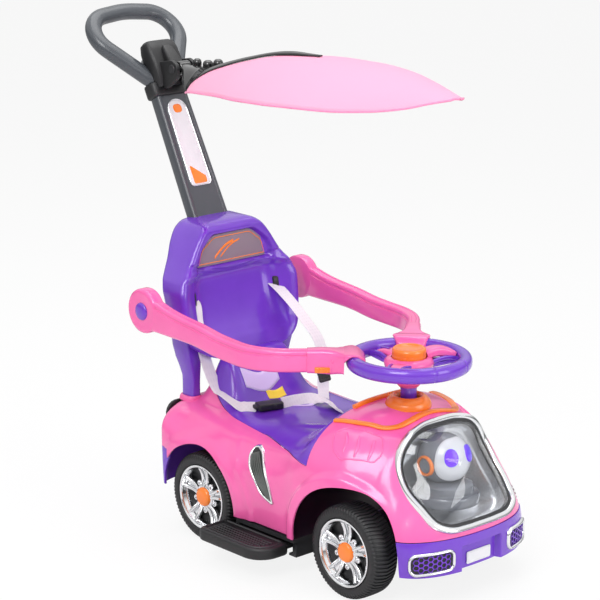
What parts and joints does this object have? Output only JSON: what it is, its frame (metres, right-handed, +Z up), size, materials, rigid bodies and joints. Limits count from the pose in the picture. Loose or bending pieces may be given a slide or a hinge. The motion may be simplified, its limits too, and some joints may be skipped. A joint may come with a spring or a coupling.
{
  "type": "push car with handle",
  "caption": "Ride-on push car with steering wheel, guard ring, seat back, harness, parent push handle and tilting sun canopy over the child's seat.",
  "frame": {"origin": "on the floor, in the middle of the length and the width of the whole push car", "axes": "+X towards the front bumper, +Y towards the child's left, +Z up"},
  "size_m": [0.9557, 0.482, 0.8917],
  "materials": {
    "pink": "glossy moulded plastic",
    "purple": "glossy moulded plastic",
    "orange": "glossy moulded plastic",
    "black": "satin moulded plastic",
    "dark_grey": "satin moulded plastic",
    "tyre": "blow moulded hard plastic tyre",
    "chrome": "bright plating on plastic",
    "steel": "plain drawn steel",
    "clear": "clear moulded plastic",
    "lamp_grey": "glossy moulded plastic",
    "lamp_white": "glossy moulded plastic",
    "lamp_lens": "tinted lens",
    "canopy_cloth": "plain woven cloth",
    "webbing": "woven satin webbing",
    "badge": "satin printed plate",
    "label": "satin printed plate"
  },
  "bodies": {
    "car": {"body_shell": "pink", "seat_saddle": "purple", "front_bumper": "purple", "rear_bumper": "purple", "backrest": "purple", "guard_pivot_pins": "purple", "hood_trim": "orange", "lamp_side_rings": "orange", "steering_flange": "orange", "chassis_pan": "black", "footrest_left": "black", "footrest_right": "black", "battery_cover": "black", "canopy_clamp": "black", "harness_buckles": "black", "rear_panel": "black", "grille_meshes": "black", "push_handle": "dark_grey", "vent_inserts": "dark_grey", "window_frame": "chrome", "lamp_bowl": "chrome", "grille_bezels": "chrome", "vent_frames": "chrome", "rear_axle": "steel", "chassis_screws": "steel", "window_bubble": "clear", "lamp_housing": "lamp_grey", "lamp_fascia": "lamp_white", "lamp_lenses": "lamp_lens", "harness_straps": "webbing", "backrest_badge": "badge", "handle_label": "label"},
    "steering_wheel": {"steering_rim": "purple", "steering_hub": "pink", "steering_column": "purple", "steering_rod": "steel"},
    "horn": {"horn_button": "orange"},
    "knuckle_l": {"knuckle_left": "steel"},
    "knuckle_r": {"knuckle_right": "steel"},
    "front_wheel_left": {"tyre_front_left": "tyre", "rim_front_left": "chrome", "hub_cap_front_left": "orange"},
    "front_wheel_right": {"tyre_front_right": "tyre", "rim_front_right": "chrome", "hub_cap_front_right": "orange"},
    "rear_wheel_left": {"tyre_rear_left": "tyre", "rim_rear_left": "chrome", "hub_cap_rear_left": "orange"},
    "rear_wheel_right": {"tyre_rear_right": "tyre", "rim_rear_right": "chrome", "hub_cap_rear_right": "orange"},
    "track_link": {"tie_rod": "steel"},
    "guard_left": {"guard_arm_left": "pink", "guard_clip_left": "pink"},
    "guard_right": {"guard_arm_right": "pink", "guard_clip_right": "pink"},
    "release_left": {"clip_release_left": "orange"},
    "release_right": {"clip_release_right": "orange"},
    "canopy": {"canopy_arm": "black", "canopy_sheet": "canopy_cloth"}
  },
  "joints": [
    {"name": "steering_turn", "type": "hinge", "parent": "car", "child": "steering_wheel", "pos_m": [0.29454, 0, 0.3695], "axis": [0, 0, 1], "range_deg": [-20, 20]},
    {"name": "horn_press", "type": "slide", "parent": "steering_wheel", "child": "horn", "axis": [0, 0, -1], "range_m": [0, 0.003], "stiffness_N_per_m": 800},
    {"name": "knuckle_left_turn", "type": "hinge", "parent": "car", "child": "knuckle_l", "pos_m": [0.31954, 0.1, 0.09], "axis": [0, 0, 1], "range_deg": [-20, 20]},
    {"name": "front_left_roll", "type": "hinge", "parent": "knuckle_l", "child": "front_wheel_left", "pos_m": [0.31954, 0.1475, 0.08], "axis": [0, 1, 0], "continuous": true},
    {"name": "rear_left_roll", "type": "hinge", "parent": "car", "child": "rear_wheel_left", "pos_m": [-0.04246, 0.1475, 0.08], "axis": [0, 1, 0], "continuous": true},
    {"name": "guard_left_lift", "type": "hinge", "parent": "car", "child": "guard_left", "pos_m": [-0.17646, 0.187, 0.396], "axis": [0, -1, 0], "range_deg": [0, 50]},
    {"name": "release_left_press", "type": "slide", "parent": "guard_left", "child": "release_left", "axis": [0, 0, 1], "range_m": [0, 0.004], "stiffness_N_per_m": 500},
    {"name": "knuckle_right_turn", "type": "hinge", "parent": "car", "child": "knuckle_r", "pos_m": [0.31954, -0.1, 0.09], "axis": [0, 0, 1], "range_deg": [-20, 20]},
    {"name": "front_right_roll", "type": "hinge", "parent": "knuckle_r", "child": "front_wheel_right", "pos_m": [0.31954, -0.1475, 0.08], "axis": [0, 1, 0], "continuous": true},
    {"name": "rear_right_roll", "type": "hinge", "parent": "car", "child": "rear_wheel_right", "pos_m": [-0.04246, -0.1475, 0.08], "axis": [0, 1, 0], "continuous": true},
    {"name": "guard_right_lift", "type": "hinge", "parent": "car", "child": "guard_right", "pos_m": [-0.17646, -0.187, 0.396], "axis": [0, -1, 0], "range_deg": [0, 50]},
    {"name": "release_right_press", "type": "slide", "parent": "guard_right", "child": "release_right", "axis": [0, 0, 1], "range_m": [0, 0.004], "stiffness_N_per_m": 500},
    {"name": "track_link_turn", "type": "hinge", "parent": "knuckle_l", "child": "track_link", "pos_m": [0.28754, 0.1, 0.105], "axis": [0, 0, 1], "range_deg": [-20, 20]},
    {"name": "canopy_tilt", "type": "hinge", "parent": "car", "child": "canopy", "pos_m": [-0.28846, 0, 0.792], "axis": [0, -1, 0], "range_deg": [0, 70]}
  ],
  "couplings": [
    {"joint": "knuckle_left_turn", "follows": "steering_turn", "ratio": 1},
    {"joint": "knuckle_right_turn", "follows": "steering_turn", "ratio": 1},
    {"joint": "track_link_turn", "follows": "steering_turn", "ratio": -1}
  ]
}
